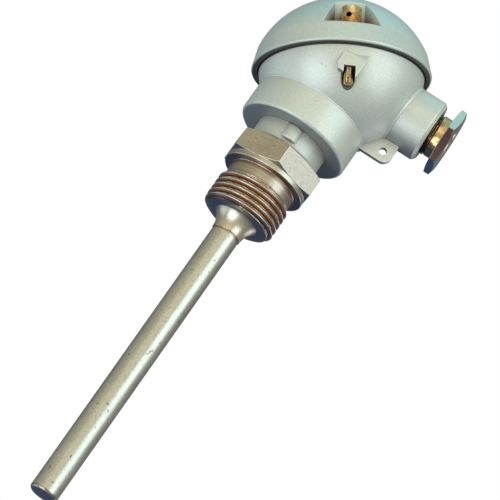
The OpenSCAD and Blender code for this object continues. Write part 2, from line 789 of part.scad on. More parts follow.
// Brass terminal block: two clamp screws from above, a lead's hole inside and a cable's hole outside.
module terminal(index) {
    clamp_hole_r = clamp_d / 2 + thread_gap;
    color(brass)
        rotate(terminal_turn + index * 360 / terminals) difference() {
            translate([terminal_in, -terminal_w / 2, terminal_z])
                cube([terminal_out - terminal_in, terminal_w, terminal_h]);
            for (x = [clamp_in, clamp_out]) translate([x, 0, lead_z])
                cylinder(r = clamp_hole_r, h = terminal_h);
            translate([terminal_in - past, 0, lead_z]) rotate([0, 90, 0])
                cylinder(d = 2 * lead_d, h = lead_grip + 2 * lead_d + past);
            translate([clamp_out - clamp_d / 2, 0, lead_z]) rotate([0, 90, 0])
                cylinder(d = cable_wire_d, h = terminal_out - clamp_out + clamp_d / 2 + past);
        }
}

module terminal_1() {
    terminal(0);
}

module terminal_2() {
    terminal(1);
}

module terminal_3() {
    terminal(2);
}

module terminal_4() {
    terminal(3);
}

// Two clamp screws on each terminal; the inner one presses on the lead wire.
module clamp_screws() {
    inner_l = terminal_top_z - lead_z - lead_d / 2 - joint_gap;
    outer_l = terminal_top_z - lead_z - cable_wire_d / 2 + clamp_bite;
    color(plated)
        at_each_terminal() {
            translate([clamp_in, 0, terminal_top_z]) slotted_screw(
                clamp_d, inner_l, clamp_head_d, clamp_head_h, clamp_slot_w, clamp_head_h / 2, clamp_cone);
            translate([clamp_out, 0, terminal_top_z]) slotted_screw(
                clamp_d, outer_l, clamp_head_d, clamp_head_h, clamp_slot_w, clamp_head_h / 2, clamp_cone);
        }
}

// Two screws through the ceramic base into the head's floor.
module base_screws() {
    color(plated)
        both_sides() translate([0, -base_screw_reach, base_top_z]) slotted_screw(
            base_screw_d, base_t + base_screw_bite - end_gap, base_screw_head_d, base_screw_head_h,
            slot_w, base_screw_head_h / 2, screw_end_cone);
}

// Earth screw on its post beside the terminals.
module earth_screw() {
    color(plated)
        translate([-earth_reach, 0, earth_z + earth_washer_t]) rotate(90) slotted_screw(
            base_screw_d, earth_washer_t + earth_hole_l - end_gap, earth_head_d, base_screw_head_h,
            slot_w, base_screw_head_h / 2, screw_end_cone);
}

module earth_washer() {
    color(plated)
        translate([-earth_reach, 0, earth_z])
            ring(earth_washer_d / 2, base_screw_d / 2 + screw_gap / 2, earth_washer_t);
}

// Ceramic rod with one bore for each lead, from the resistor up into the terminal base.
module insulating_rod() {
    color(ceramic)
        difference() {
            translate([0, 0, rod_z]) cylinder(r = rod_r, h = rod_top_z - rod_z);
            at_each_terminal() translate([rod_bore_reach, 0, rod_z - past])
                cylinder(d = rod_bore_d, h = rod_top_z - rod_z + 2 * past);
        }
}

// One lead for each terminal: up through the rod, then bent outwards into the terminal.
module lead_wires() {
    bend_x = rod_bore_reach + lead_bend;
    color(plated)
        at_each_terminal() {
            translate([rod_bore_reach, 0, rod_z]) cylinder(d = lead_d, h = lead_z - lead_bend - rod_z);
            translate([bend_x, 0, lead_z - lead_bend]) rotate([-90, 0, 0]) rotate([0, 0, 180])
                rotate_extrude(angle = 90) translate([lead_bend, 0]) circle(d = lead_d);
            translate([bend_x, 0, lead_z]) rotate([0, 90, 0])
                cylinder(d = lead_d, h = terminal_in + lead_grip - bend_x);
        }
}

// Wire-wound resistor in a ceramic body, at the tip.
module measuring_resistor() {
    color(ceramic) translate([0, 0, element_z]) cylinder(r = element_r, h = element_l);
}

protection_tube();
tube_end_plug();
process_fitting();
neck_gasket();
head_body();
lid();
lid_gasket();
lid_screw_front();
lid_screw_back();
gland_screw();
gland_outer_washer();
gland_seal();
gland_inner_washer();
terminal_base();
terminal_1();
terminal_2();
terminal_3();
terminal_4();
clamp_screws();
base_screws();
earth_screw();
earth_washer();
insulating_rod();
lead_wires();
measuring_resistor();
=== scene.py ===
import math

import bmesh
import bpy
from mathutils import Matrix, Vector


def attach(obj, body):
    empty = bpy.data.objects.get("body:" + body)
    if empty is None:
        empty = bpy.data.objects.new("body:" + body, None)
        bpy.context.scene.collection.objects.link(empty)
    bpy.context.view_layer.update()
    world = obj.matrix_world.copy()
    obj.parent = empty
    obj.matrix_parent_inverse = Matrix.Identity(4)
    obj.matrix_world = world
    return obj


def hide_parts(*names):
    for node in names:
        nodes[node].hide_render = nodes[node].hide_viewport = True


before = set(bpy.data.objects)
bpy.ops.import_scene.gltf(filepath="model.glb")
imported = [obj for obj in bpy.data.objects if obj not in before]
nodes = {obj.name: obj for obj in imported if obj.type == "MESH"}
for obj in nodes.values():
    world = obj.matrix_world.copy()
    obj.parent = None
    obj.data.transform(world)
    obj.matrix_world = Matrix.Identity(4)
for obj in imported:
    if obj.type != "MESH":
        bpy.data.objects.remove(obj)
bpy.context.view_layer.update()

# ---------------------------------------------------------------------------
# Protection tube and its end plug
# A seamless 8 x 1 mm stainless tube, closed by a welded disc with a rounded
# edge. Both are pickled and lightly drawn along their length.
# ---------------------------------------------------------------------------
mm = 0.001
HUB_END, TUBE_END = -18.3, -106.0


class Value:
    """One shader socket, so that sums on it are written as sums."""

    def __init__(self, finish, socket):
        self.finish, self.socket = finish, socket

    def worked(self, operation, *others):
        return self.finish.node("ShaderNodeMath", {"operation": operation}, self, *others)

    def __add__(self, other):
        return self.worked("ADD", other)

    def __sub__(self, other):
        return self.worked("SUBTRACT", other)

    def __rsub__(self, other):
        return self.finish.node("ShaderNodeMath", {"operation": "SUBTRACT"}, other, self)

    def __mul__(self, other):
        return self.worked("MULTIPLY", other)

    def __pow__(self, other):
        return self.worked("POWER", other)

    def __rpow__(self, other):
        return self.finish.node("ShaderNodeMath", {"operation": "POWER"}, other, self)

    def __abs__(self):
        return self.worked("ABSOLUTE")

    __radd__, __rmul__ = __add__, __mul__


class Finish:
    """A material, or the world, whose nodes are made by one method."""

    def __init__(self, name, owner=None):
        self.owner = owner or bpy.data.materials.new(name)
        self.owner.use_nodes = True
        self.tree = self.owner.node_tree
        self.tree.nodes.clear()

    def node(self, kind, settings=None, *values, out=0, **named):
        """Makes a node: its settings first, then the values or links of its sockets."""
        made = self.tree.nodes.new(kind)
        for key, setting in (settings or {}).items():
            setattr(made, key, setting)
        pairs = list(enumerate(values))
        pairs += [(key.replace("_", " "), value) for key, value in named.items()]
        for key, value in pairs:
            socket = made.inputs[key]
            if isinstance(value, Value):
                self.tree.links.new(value.socket, socket)
            elif value is not None:
                socket.default_value = (*value, 1) if socket.type == "RGBA" and len(value) == 3 else value
        return Value(self, made.outputs[out]) if made.outputs else None

    def place(self):
        """Where a point lies in its object's own frame, in metres."""
        return self.node("ShaderNodeTexCoord", out="Object")

    def parts(self, vector):
        """A vector's x, y and z."""
        split = self.node("ShaderNodeSeparateXYZ", None, vector)
        outputs = split.socket.node.outputs
        return [Value(self, outputs[axis]) for axis in range(3)]

    def noise(self, vector, scale, detail=2.0, roughness=0.5):
        """Soft noise between 0 and 1."""
        return self.node(
            "ShaderNodeTexNoise", None, Vector=vector, Scale=scale, Detail=detail, Roughness=roughness
        )

    def between(self, value, low, high, out_low=0.0, out_high=1.0):
        """From out_low to out_high while the value goes from low to high."""
        return self.node("ShaderNodeMapRange", None, value, low, high, out_low, out_high)

    def band(self, value, start, full, fade, end):
        """1 from full to fade, and 0 outside start and end; all four are in mm."""
        return self.between(value, start * mm, full * mm) * self.between(value, end * mm, fade * mm)

    def mixed(self, share, first, second):
        """Colours go through Mix, which keeps them coloured."""
        unused = [None] * 5
        return self.node("ShaderNodeMix", {"data_type": "RGBA"}, share, *unused, first, second, out=2)

    def layered(self, tone, *layers):
        """Lays colours over a tone, each given with its share."""
        for share, colour in layers:
            tone = self.mixed(share, tone, colour)
        return tone

    def hollows(self, reach, low, high, most):
        """Painted shade: most in recesses narrower than the reach, in mm, and 0 on open faces."""
        light = self.node("ShaderNodeAmbientOcclusion", {"samples": 6}, Distance=reach * mm, out="AO")
        return self.between(light, low, high, most, 0.0)

    def edge(self, rounding):
        """A normal that rounds edges off by some mm, and how near an edge is, from 0 to 1, which the
        finishes use for painted highlights.
        """
        rounded = self.node("ShaderNodeBevel", {"samples": 6}, rounding * mm)
        flat = self.node("ShaderNodeNewGeometry", out="Normal")
        turn = self.node("ShaderNodeVectorMath", {"operation": "DOT_PRODUCT"}, rounded, flat, out="Value")
        return rounded, self.between(turn, 0.997, 0.965)

    def bump(self, strength, depth, height, normal=None):
        """Relief up to a depth in mm."""
        return self.node(
            "ShaderNodeBump", None, Strength=strength, Distance=depth * mm, Height=height, Normal=normal
        )

    def surface(self, **sockets):
        """The finish's one shader, wired to its output."""
        shader = self.node("ShaderNodeBsdfPrincipled", None, **sockets)
        self.node("ShaderNodeOutputMaterial", None, shader)
        return self.owner


def wear(material, *names):
    """Gives CAD nodes a material, and leaves their meshes alone."""
    for name in names:
        for slot in nodes[name].material_slots:
            slot.link = "OBJECT"
            slot.material = material


tube_steel = Finish("drawn_tube_steel")
spot = tube_steel.place()
x, y, z = tube_steel.parts(spot)
along = tube_steel.node("ShaderNodeCombineXYZ", None, x * 900, y * 900, z * 60)
drawn = tube_steel.noise(along, 1.0, 3.0)
cloud = tube_steel.noise(spot, 90.0, 3.0, 0.6)
grit = tube_steel.between(tube_steel.noise(spot, 2200.0, 2.0), 0.48, 0.66)
specks = tube_steel.between(tube_steel.noise(spot, 700.0, 1.0), 0.71, 0.76)
by_hub = tube_steel.between(z, (HUB_END - 0.8) * mm, (HUB_END - 0.5) * mm)
by_weld = tube_steel.band(z, TUBE_END + 0.3, TUBE_END + 0.5, TUBE_END + 0.8, TUBE_END + 1.0)
patches = tube_steel.between(cloud, 0.30, 0.50)
tone = tube_steel.layered(
    tube_steel.mixed(cloud, (0.53, 0.545, 0.50), (0.63, 0.645, 0.60)),
    (drawn * 0.25, (0.68, 0.65, 0.54)),
    (grit * 0.35, (0.31, 0.28, 0.22)),
    (specks * 0.7, (0.18, 0.12, 0.07)),
    (by_hub * 0.6, (0.30, 0.17, 0.08)),
    (by_weld * patches * 0.9, (0.27, 0.12, 0.05)),
)
wear(
    tube_steel.surface(
        Base_Color=tone, Metallic=1.0, Roughness=tube_steel.between(cloud, 0.3, 0.7, 0.31, 0.39),
        Normal=tube_steel.bump(0.10, 0.04, drawn),
    ),
    "protection_tube", "tube_end_plug",
)

# ---------------------------------------------------------------------------
# Process fitting
# One piece turned from stainless bar: a hub with a hollow flank, a G 1/2
# thread cut as a helix, undercut, sealing flange, hexagon and neck thread.
# ---------------------------------------------------------------------------
TUBE_SEAT_R, TUBE_SEAT_TOP = 4.02, 2.0
NECK_R, NECK_PITCH, NECK_DEPTH = 6.58, 1.337, 0.60
NECK_BORE_R, NECK_END_R, NECK_ROOT_R = 3.0, 5.9, 5.98
NECK_TOP, NECK_LOW = 16.0, 9.2
HEX_FLATS, HEX_TOP, HEX_LOW, HEX_CORNER_DROP = 24.0, 8.0, 1.35, 0.65
HEX_TURN = math.radians(37.8)
UNDERCUT_R = 9.6
THREAD_R, THREAD_PITCH, THREAD_DEPTH = 10.4775, 1.814, 1.162
THREAD_TOP, THREAD_LOW, THREAD_END, THREAD_END_R = -3.7, -12.4, -13.3, 8.9
HUB_R, HUB_END_R = 6.3, 4.25


def spread(first, last, steps):
    """Values at even steps from first to last."""
    return [first + (last - first) * step / steps for step in range(steps + 1)]


def thread_depth(height, angle, pitch, depth):
    """How far a rounded 55-degree thread lies below its crest."""
    phase = (height / pitch - angle / math.tau) % 1.0
    off_crest = abs(phase - 0.5) * 2
    flank = min(max((off_crest - 0.15) / 0.68, 0.0), 1.0)
    return depth * (0.5 * flank + 0.5 * flank * flank * (3 - 2 * flank))


def hex_radius(angle, flats, corner_at):
    """Distance from the axis to a hexagon's side at an angle."""
    turn = (angle - corner_at) % (math.pi / 3) - math.pi / 6
    return flats / 2 / math.cos(turn)


def corner_share(hex_r, flats):
    """0 at the middle of a hexagon's flat, and 1 at its corner."""
    return (hex_r - flats / 2) / (flats / math.sqrt(3) - flats / 2)


def finished(name, mesh, sharp=math.radians(32)):
    """Turns a bmesh into an object with smooth faces and sharp edges where it bends."""
    for face in mesh.faces:
        face.smooth = True
    for edge in mesh.edges:
        if len(edge.link_faces) == 2 and edge.calc_face_angle(0.0) > sharp:
            edge.smooth = False
    data = bpy.data.meshes.new(name)
    mesh.to_mesh(data)
    mesh.free()
    made = bpy.data.objects.new(name, data)
    bpy.context.scene.collection.objects.link(made)
    return made


def turned(name, outline, sides, first_angle=0.0, place=Matrix.Identity(4)):
    """A turned mesh: outline(angle) lists (radius, height) pairs round the section, in mm.

    An outline that starts and ends on the axis closes there; any other is a loop."""
    mesh = bmesh.new()
    angles = [first_angle + math.tau * side / sides for side in range(sides)]
    sections = [[(r * mm, z * mm) for r, z in outline(angle)] for angle in angles]
    closed = sections[0][0][0] < 1e-9
    inner = slice(1, -1) if closed else slice(None)
    rows = []
    for angle, section in zip(angles, sections):
        c, s = math.cos(angle), math.sin(angle)
        rows.append([mesh.verts.new(place @ Vector((r * c, r * s, z))) for r, z in section[inner]])
    if closed:
        ends = [mesh.verts.new(place @ Vector((0, 0, sections[0][i][1]))) for i in (0, -1)]
    for side in range(sides):
        a, b = rows[side], rows[(side + 1) % sides]
        for i in range(len(a) - 1 if closed else len(a)):
            j = (i + 1) % len(a)
            mesh.faces.new((a[i], b[i], b[j], a[j]))
        if closed:
            mesh.faces.new((ends[0], b[0], a[0]))
            mesh.faces.new((ends[1], a[-1], b[-1]))
    bmesh.ops.recalc_face_normals(mesh, faces=mesh.faces)
    return finished(name, mesh)


def fitting_outline(angle):
    """Tube seat, neck thread, hexagon, flange, undercut, pipe thread and hub, in that order."""
    flat_r = HEX_FLATS / 2
    hex_r = hex_radius(angle, HEX_FLATS, HEX_TURN)
    drop = HEX_CORNER_DROP * corner_share(hex_r, HEX_FLATS)
    points = [(TUBE_SEAT_R, TUBE_SEAT_TOP), (NECK_BORE_R, TUBE_SEAT_TOP)]
    points += [(NECK_BORE_R, NECK_TOP), (NECK_END_R, NECK_TOP)]
    for z in spread(NECK_TOP - 0.1, NECK_LOW, 56):
        crest = NECK_R - thread_depth(z, angle, NECK_PITCH, NECK_DEPTH)
        end_chamfer = NECK_END_R + NECK_TOP - z
        run_out = 6.0 + max(0.0, z - NECK_LOW - 0.6)
        points.append((min(crest, end_chamfer, run_out), z))
    points += [(NECK_ROOT_R, NECK_LOW - 0.6), (NECK_ROOT_R, HEX_TOP)]
    points += [(flat_r - 0.1, HEX_TOP), (flat_r, HEX_TOP - 0.015), (hex_r, HEX_TOP - drop)]
    points += [(hex_r, HEX_LOW + drop), (flat_r, HEX_LOW + 0.015)]
    points += [(flat_r - 0.07, HEX_LOW - 0.02), (flat_r, HEX_LOW - 0.11)]
    points += [(flat_r, 0.12), (flat_r - 0.12, 0.0), (UNDERCUT_R + 0.3, 0.0)]
    points += [(UNDERCUT_R + 0.08, -0.08), (UNDERCUT_R, -0.3), (UNDERCUT_R, THREAD_TOP + 0.2)]
    for z in spread(THREAD_TOP, THREAD_END, 120):
        crest = THREAD_R - thread_depth(z, angle, THREAD_PITCH, THREAD_DEPTH)
        run_out = UNDERCUT_R + max(0.0, THREAD_TOP - 0.12 - z)
        slope = (THREAD_R - THREAD_END_R) / (THREAD_LOW - THREAD_END)
        points.append((min(crest, run_out, THREAD_END_R + (z - THREAD_END) * slope), z))
    points += [(HUB_R + 0.2, THREAD_END)]
    sweep, hub_l = HUB_R - HUB_END_R, THREAD_END - HUB_END
    hollow = (sweep * sweep + hub_l * hub_l) / (2 * sweep)
    for z in spread(hub_l, 0.0, 16):
        points.append((HUB_END_R + hollow - math.sqrt(max(hollow * hollow - z * z, 0.0)), HUB_END + z))
    return points + [(TUBE_SEAT_R, HUB_END)]


fitting = turned("turned_fitting", fitting_outline, 288, HEX_TURN)
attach(fitting, "fitting")
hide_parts("process_fitting")

turned_steel = Finish("turned_steel")
spot = turned_steel.place()
x, y, z = turned_steel.parts(spot)
radius = (x * x + y * y) ** 0.5
tool_path = turned_steel.node("ShaderNodeCombineXYZ", None, radius, 0.0, z)
rings = turned_steel.noise(tool_path, 3200.0, 2.0)
cloud = turned_steel.noise(spot, 160.0, 4.0, 0.6)
pits = turned_steel.between(turned_steel.noise(spot, 1500.0, 2.0), 0.62, 0.75)
threaded = turned_steel.band(z, THREAD_END, THREAD_END + 0.4, THREAD_TOP - 0.9, THREAD_TOP - 0.5)
flank = turned_steel.between(radius, 10.44 * mm, 10.28 * mm)
# Painted shade: the thread's roots are darkened.
root = turned_steel.between(radius, 9.95 * mm, 9.50 * mm)
# Painted shade: the undercut groove is darkened under the flange and above the thread.
under_flange = turned_steel.band(z, -1.5, -0.6, -0.05, 0.05)
over_thread = turned_steel.band(z, THREAD_TOP - 0.9, THREAD_TOP - 0.5, THREAD_TOP + 0.1, THREAD_TOP + 0.8)
# Painted light: the hub is painted lighter than the rest.
hub = turned_steel.between(z, (THREAD_END - 0.1) * mm, (THREAD_END - 0.7) * mm)
by_tube = turned_steel.between(z, (HUB_END + 0.5) * mm, (HUB_END + 0.1) * mm)
# Edges are painted pale: a painted highlight.
rounded, worn = turned_steel.edge(0.26)
tone = turned_steel.layered(
    turned_steel.mixed(cloud, (0.48, 0.44, 0.38), (0.59, 0.56, 0.49)),
    (pits * 0.35, (0.25, 0.19, 0.11)),
    # Painted shade in the fitting's recesses.
    (turned_steel.hollows(1.3, 0.20, 0.70, 0.60), (0.22, 0.11, 0.05)),
    (turned_steel.between(rings, 0.42, 0.60) * 0.30, (0.26, 0.18, 0.11)),
    (threaded * flank * 0.85, (0.70, 0.43, 0.26)),
    ((under_flange + over_thread * 0.7) * 0.75, (0.24, 0.11, 0.055)),
    (hub * 0.7, (0.76, 0.71, 0.57)),
    (by_tube * 0.6, (0.55, 0.34, 0.16)),
    (threaded * root * 0.9, (0.15, 0.052, 0.026)),
    (worn, (0.90, 0.87, 0.78)),
)
fitting.data.materials.append(
    turned_steel.surface(
        Base_Color=tone, Metallic=1.0, Roughness=turned_steel.between(cloud, 0.3, 0.7, 0.30, 0.38),
        Normal=turned_steel.bump(0.45, 0.03, rings, rounded),
    )
)

# ---------------------------------------------------------------------------
# Neck gasket, lid gasket and the seal in the cable entry
# Black rubber: a flat ring under the head's collar, a die-cut gasket bonded
# in the lid, and the thick ring that grips the cable.
# ---------------------------------------------------------------------------
rubber = Finish("black_rubber")
grain = rubber.noise(rubber.place(), 1400.0, 3.0)
wear(
    rubber.surface(
        Base_Color=rubber.mixed(grain, (0.030, 0.029, 0.028), (0.060, 0.058, 0.056)), Roughness=0.72,
        Normal=rubber.bump(0.3, 0.05, grain),
    ),
    "neck_gasket", "lid_gasket", "gland_seal",
)

# ---------------------------------------------------------------------------
# Cast head and lid
# Both are sand-blasted aluminium castings under a thin clear lacquer, with a
# fine grain, a soft cloudiness and brown painted shade where their faces meet.
# ---------------------------------------------------------------------------
BOWL_R, BOWL_Z = 22.5, 39.9
ENTRY_Z, BOSS_R = 38.5, 8.95
BARREL_R = 15.95
COLLAR_LOW = 8.5
LID_TILT = math.radians(29.5)
SCREW_SHIFT, SCREW_REACH, POCKET_H = 0.7, 20.0, 4.25


def cast(name, light, dark, dark_gap, sheltered):
    """The castings' finish. Its heights run up the lid's tilted axis from the bowl's centre.

    The gap under the lid's lip carries a painted shadow between two heights, and the
    last argument sets how much painted shade lies in deep recesses."""
    alloy = Finish(name)
    spot = alloy.place()
    x, y, z = alloy.parts(spot)
    c, s = math.cos(LID_TILT), math.sin(LID_TILT)
    height = z * c - x * s - BOWL_Z * c * mm
    across = x * c + z * s + (SCREW_SHIFT - BOWL_Z * s) * mm
    beside = abs(y) - SCREW_REACH * mm
    off_screw = (across * across + beside * beside) ** 0.5
    down = alloy.parts(alloy.node("ShaderNodeNewGeometry", out="Normal"))[2]
    cloud = alloy.noise(spot, 55.0, 4.0, 0.6)
    grain = alloy.noise(spot, 1900.0, 2.0, 0.6)
    pits = alloy.between(alloy.noise(spot, 420.0, 1.0), 0.74, 0.80)
    # Painted reflection: a cool tint on the lid's dome.
    dome = alloy.between(height, 4.2 * mm, 8.2 * mm)
    off_lip = alloy.between(abs(height + 1.6 * mm), 1.4 * mm, 2.4 * mm)
    pocket = alloy.band(height, POCKET_H - 0.25, POCKET_H - 0.05, 5.4, 9.5)
    # Painted shade in the screw pockets and in the pad's slot.
    in_pocket = alloy.between(off_screw, 6.2 * mm, 3.6 * mm) * pocket
    in_slot = alloy.between(off_screw, 2.08 * mm, 1.98 * mm) * alloy.between(height, -7.6 * mm, -8.2 * mm)
    low, high = dark_gap
    # Edges are painted pale: a painted highlight.
    rounded, worn = alloy.edge(0.38)
    tone = alloy.layered(
        alloy.mixed(cloud, dark, light),
        (alloy.between(grain, 0.35, 0.65) * 0.34, tuple(part * 0.72 for part in dark)),
        # Painted shade where faces meet.
        (alloy.hollows(0.7, 0.35, 0.85, 0.90), (0.17, 0.11, 0.065)),
        (worn, (0.95, 0.99, 0.96)),
        (pits * 0.35, (0.20, 0.17, 0.13)),
        # Painted shade: faces turned downwards are darkened.
        (alloy.between(down, -0.80, -0.98) * 0.65, (0.12, 0.135, 0.16)),
        # Painted shadow along the collar's lower edge, by the fitting's hexagon.
        (alloy.between(z, (COLLAR_LOW + 0.85) * mm, (COLLAR_LOW + 0.35) * mm) * 0.85, (0.10, 0.05, 0.03)),
        (dome * 0.26, (0.44, 0.70, 0.78)),
        # Painted shade in deep recesses, kept off the lid's lip.
        (alloy.hollows(4.0, 0.35, 0.90, sheltered) * off_lip, (0.25, 0.18, 0.12)),
        (in_pocket * 0.85, (0.14, 0.06, 0.045)),
        (in_slot * 0.85, (0.05, 0.028, 0.02)),
        # Painted shadow in the gap under the lid's lip.
        (alloy.band(height, low, low + 0.12, high - 0.12, high) * 0.9, (0.035, 0.022, 0.018)),
    )
    return alloy.surface(
        Base_Color=tone, Metallic=0.40, Roughness=alloy.between(cloud, 0.3, 0.7, 0.40, 0.50),
        Coat_Weight=0.15, Coat_Roughness=0.30, Normal=alloy.bump(0.35, 0.05, grain, rounded),
    )


head_alloy = cast("cast_head", (0.735, 0.775, 0.735), (0.66, 0.695, 0.65), (-2.30, -1.45), 0.45)
lid_alloy = cast("cast_lid", (0.72, 0.77, 0.73), (0.64, 0.69, 0.645), (-2.7, -1.74), 1.0)
wear(head_alloy, "head_body")
wear(lid_alloy, "lid")


def looped(name, section, sides):
    """A closed ring whose section(angle) lists its points, as a fillet is."""
    mesh = bmesh.new()
    rows = []
    for side in range(sides):
        rows.append([mesh.verts.new(Vector(point) * mm) for point in section(math.tau * side / sides)])
    for side in range(sides):
        a, b = rows[side], rows[(side + 1) % sides]
        for i in range(len(a)):
            j = (i + 1) % len(a)
            mesh.faces.new((a[i], b[i], b[j], a[j]))
    bmesh.ops.recalc_face_normals(mesh, faces=mesh.faces)
    return finished(name, mesh)


def hollow_arc(centre, first, last, steps):
    """Points of the arc round centre from first to last, the short way."""
    centre = Vector(centre)
    a, b = Vector(first) - centre, Vector(last) - centre
    whole = a.angle(b)
    points = []
    for share in spread(0.0, 1.0, steps):
        swing = math.sin((1 - share) * whole) * a + math.sin(share * whole) * b
        points.append(tuple(centre + swing / math.sin(whole)))
    return points


def boss_fillet(angle, fillet=0.8, sunk=0.35):
    """Between the cable entry's boss and the bowl."""
    y, up = math.cos(angle), math.sin(angle)
    bowl = Vector((0, 0, BOWL_Z))
    reach = BOSS_R + fillet
    centre = Vector((0, reach * y, ENTRY_Z + reach * up))
    centre.x = math.sqrt((BOWL_R + fillet) ** 2 - centre.y**2 - (centre.z - BOWL_Z) ** 2)
    on_boss = Vector((centre.x, BOSS_R * y, ENTRY_Z + BOSS_R * up))
    on_bowl = bowl + (centre - bowl) * (BOWL_R / (BOWL_R + fillet))
    inner = BOSS_R - sunk
    corner = Vector((0, inner * y, ENTRY_Z + inner * up))
    corner.x = math.sqrt((BOWL_R - sunk) ** 2 - corner.y**2 - (corner.z - BOWL_Z) ** 2)
    return hollow_arc(centre, on_boss, on_bowl, 8) + [tuple(corner)]


def barrel_fillet(angle, fillet=0.55, sunk=0.35):
    """Between the barrel and the bowl."""
    c, s = math.cos(angle), math.sin(angle)
    reach = BARREL_R + fillet
    drop = math.sqrt((BOWL_R + fillet) ** 2 - reach**2)
    share = BOWL_R / (BOWL_R + fillet)
    inner = BARREL_R - sunk
    inner_drop = math.sqrt((BOWL_R - sunk) ** 2 - inner**2)
    centre, on_barrel = (reach, 0, BOWL_Z - drop), (BARREL_R, 0, BOWL_Z - drop)
    flat = hollow_arc(centre, on_barrel, (reach * share, 0, BOWL_Z - drop * share), 6)
    flat.append((inner, 0, BOWL_Z - inner_drop))
    return [(r * c, r * s, z) for r, _, z in flat]


for name, section in (("boss_fillet", boss_fillet), ("barrel_fillet", barrel_fillet)):
    strip = looped(name, section, 160)
    strip.data.materials.append(head_alloy)
    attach(strip, "head")

# ---------------------------------------------------------------------------
# Lid screws
# Brass cheese-head screws turned from bar: a driver slot, a hole across the
# head for a sealing wire, and a fine thread that shows below the pads.
# ---------------------------------------------------------------------------
HEAD_R, HEAD_H = 2.7, 5.2
SHANK_R, SHANK_TIP_R, SCREW_END_H = 1.3, 0.8, 12.8
SHANK_THREAD_TOP, SHANK_PITCH, SHANK_DEPTH = -9.2, 0.45, 0.24
WIRE_HOLE_R, WIRE_HOLE_Z, DRIVER_SLOT_W, DRIVER_SLOT_Z = 0.8, 2.3, 0.9, 4.4


def brass(name, marks=None):
    """Tarnished brass. marks(metal, spot) lists layers that only one piece has."""
    metal = Finish(name)
    spot = metal.place()
    cloud = metal.noise(spot, 260.0, 4.0, 0.6)
    fine = metal.noise(spot, 2600.0, 2.0)
    blotches = metal.between(metal.noise(spot, 900.0, 2.0), 0.56, 0.68)
    tone = metal.layered(
        metal.mixed(metal.between(cloud, 0.36, 0.62), (0.52, 0.23, 0.06), (0.92, 0.74, 0.42)),
        (blotches * 0.6, (0.30, 0.09, 0.03)),
        # Painted shade in hollows.
        (metal.hollows(1.1, 0.25, 0.85, 0.95), (0.05, 0.016, 0.008)),
    )
    if marks:
        tone = metal.layered(tone, *marks(metal, spot))
    # Edges are painted pale: a painted highlight.
    rounded, worn = metal.edge(0.12)
    return metal.surface(
        Base_Color=metal.mixed(worn * 0.6, tone, (0.95, 0.82, 0.55)), Metallic=1.0,
        Roughness=metal.between(cloud, 0.3, 0.7, 0.10, 0.20), Normal=metal.bump(0.2, 0.03, fine, rounded),
    )


screw_brass = brass("screw_brass")

# Near-black painted shade for the inside of the sealing-wire holes.
bore = Finish("bore_dirt")
crust = bore.noise(bore.place(), 1200.0, 3.0)
bore_dirt = bore.surface(
    Base_Color=bore.mixed(crust, (0.006, 0.004, 0.003), (0.035, 0.015, 0.008)), Roughness=0.85
)


def block(name, low, high, place):
    """A milling cut's box."""
    mesh = bmesh.new()
    bmesh.ops.create_cube(mesh, size=1.0)
    for vert in mesh.verts:
        share = vert.co + Vector((0.5, 0.5, 0.5))
        vert.co = place @ (Vector([a + (b - a) * part for a, b, part in zip(low, high, share)]) * mm)
    return finished(name, mesh)


def cut_away(solid, *tools):
    """Cuts tools out of solid, as a mill or drill would, and keeps the result."""
    for tool in tools:
        cut = solid.modifiers.new("cut", "BOOLEAN")
        cut.operation, cut.solver, cut.object = "DIFFERENCE", "EXACT", tool
    bpy.context.view_layer.update()
    result = bpy.data.meshes.new_from_object(solid.evaluated_get(bpy.context.evaluated_depsgraph_get()))
    solid.modifiers.clear()
    solid.data = result
    for tool in tools:
        bpy.data.objects.remove(tool)
    mesh = bmesh.new()
    mesh.from_mesh(result)
    for edge in mesh.edges:
        edge.smooth = not (len(edge.link_faces) == 2 and edge.calc_face_angle(0.0) > math.radians(32))
    mesh.to_mesh(result)
    mesh.free()


def lid_screw_outline(angle):
    """Head upwards from its seat and threaded shank downwards, in one piece."""
    end = -(POCKET_H + SCREW_END_H)
    points = [(0.0, HEAD_H), (1.2, HEAD_H), (HEAD_R - 0.28, HEAD_H), (HEAD_R - 0.12, HEAD_H - 0.05)]
    points += [(HEAD_R - 0.04, HEAD_H - 0.14), (HEAD_R, HEAD_H - 0.28), (HEAD_R, 3.4), (HEAD_R, 1.2)]
    points += [(HEAD_R, 0.08), (HEAD_R - 0.08, 0.0), (1.9, 0.0), (SHANK_R, 0.0)]
    for z in spread(SHANK_THREAD_TOP, end + 0.02, 150):
        run_in = min(1.0, (SHANK_THREAD_TOP - z) / 0.5)
        cut = thread_depth(z, angle, SHANK_PITCH, SHANK_DEPTH) * run_in
        points.append((min(SHANK_R - cut, SHANK_TIP_R + (z - end)), z))
    return points + [(0.0, end)]


def wire_hole_outline(angle):
    return [(0.0, -4.0), (WIRE_HOLE_R, -4.0), (WIRE_HOLE_R, 4.0), (0.0, 4.0)]


